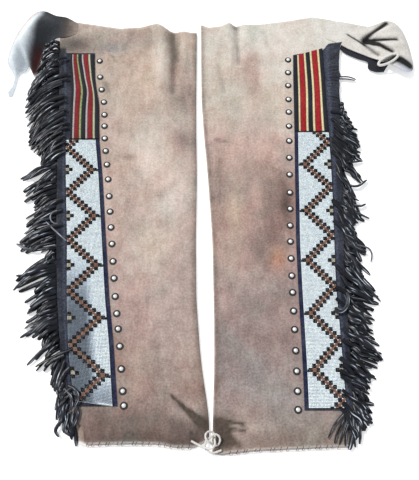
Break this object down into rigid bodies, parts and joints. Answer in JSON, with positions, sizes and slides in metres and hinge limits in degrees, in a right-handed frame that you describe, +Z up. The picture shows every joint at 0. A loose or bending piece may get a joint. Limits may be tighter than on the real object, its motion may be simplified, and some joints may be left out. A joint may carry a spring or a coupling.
{
  "type": "pair of hide leggings (leather chaps) laid flat",
  "caption": "Pair of soft tanned hide leggings laid flat, with beaded zigzag strips, striped ribbon, domed studs, dark fringe and belt tabs.",
  "frame": {"origin": "on the surface the pair lies on, under the middle of the pair", "axes": "+X across the pair to the right leg as seen from above, +Y from the hems to the waist, +Z up from the surface"},
  "size_m": [0.885, 0.96, 0.0395],
  "materials": {
    "hide": "soft suede nap, mottled tan with pinkish and cream patches, darker at the hems",
    "tab_hide": "pale cream leather, slightly polished where it curls",
    "navy_cloth": "dark navy wool cloth, matt",
    "beads": "small opaque glass beads, white with a dark and copper zigzag",
    "ribbon": "woven ribbon in red, navy, cream and yellow stripes",
    "fringe_leather": "dyed near black, shiny along the edges",
    "stud_metal": "domed, worn silver with a dark rim",
    "thong": "thin pale leather thong"
  },
  "bodies": {
    "root": {"hide_left": "hide", "hide_right": "hide", "belt_tab_left": "tab_hide", "belt_tab_right": "tab_hide", "band_left": "navy_cloth", "band_right": "navy_cloth", "binding_strap_right": "navy_cloth", "bead_panel_left": "beads", "bead_panel_right": "beads", "ribbon_panel_left": "ribbon", "ribbon_panel_right": "ribbon", "fringe_left": "fringe_leather", "fringe_right": "fringe_leather", "hem_tie": "thong", "thong_loop_right": "thong", "stud_left_01": "stud_metal", "stud_left_02": "stud_metal", "stud_left_03": "stud_metal", "stud_left_04": "stud_metal", "stud_left_05": "stud_metal", "stud_left_06": "stud_metal", "stud_left_07": "stud_metal", "stud_left_08": "stud_metal", "stud_left_09": "stud_metal", "stud_left_10": "stud_metal", "stud_left_11": "stud_metal", "stud_left_12": "stud_metal", "stud_left_13": "stud_metal", "stud_left_14": "stud_metal", "stud_left_15": "stud_metal", "stud_left_16": "stud_metal", "stud_left_17": "stud_metal", "stud_left_18": "stud_metal", "stud_left_19": "stud_metal", "stud_left_20": "stud_metal", "stud_left_21": "stud_metal", "stud_left_22": "stud_metal", "stud_left_23": "stud_metal", "stud_right_01": "stud_metal", "stud_right_02": "stud_metal", "stud_right_03": "stud_metal", "stud_right_04": "stud_metal", "stud_right_05": "stud_metal", "stud_right_06": "stud_metal", "stud_right_07": "stud_metal", "stud_right_08": "stud_metal", "stud_right_09": "stud_metal", "stud_right_10": "stud_metal", "stud_right_11": "stud_metal", "stud_right_12": "stud_metal", "stud_right_13": "stud_metal", "stud_right_14": "stud_metal", "stud_right_15": "stud_metal", "stud_right_16": "stud_metal", "stud_right_17": "stud_metal", "stud_right_18": "stud_metal", "stud_right_19": "stud_metal", "stud_right_20": "stud_metal", "stud_right_21": "stud_metal", "stud_right_22": "stud_metal"}
  },
  "joints": []
}
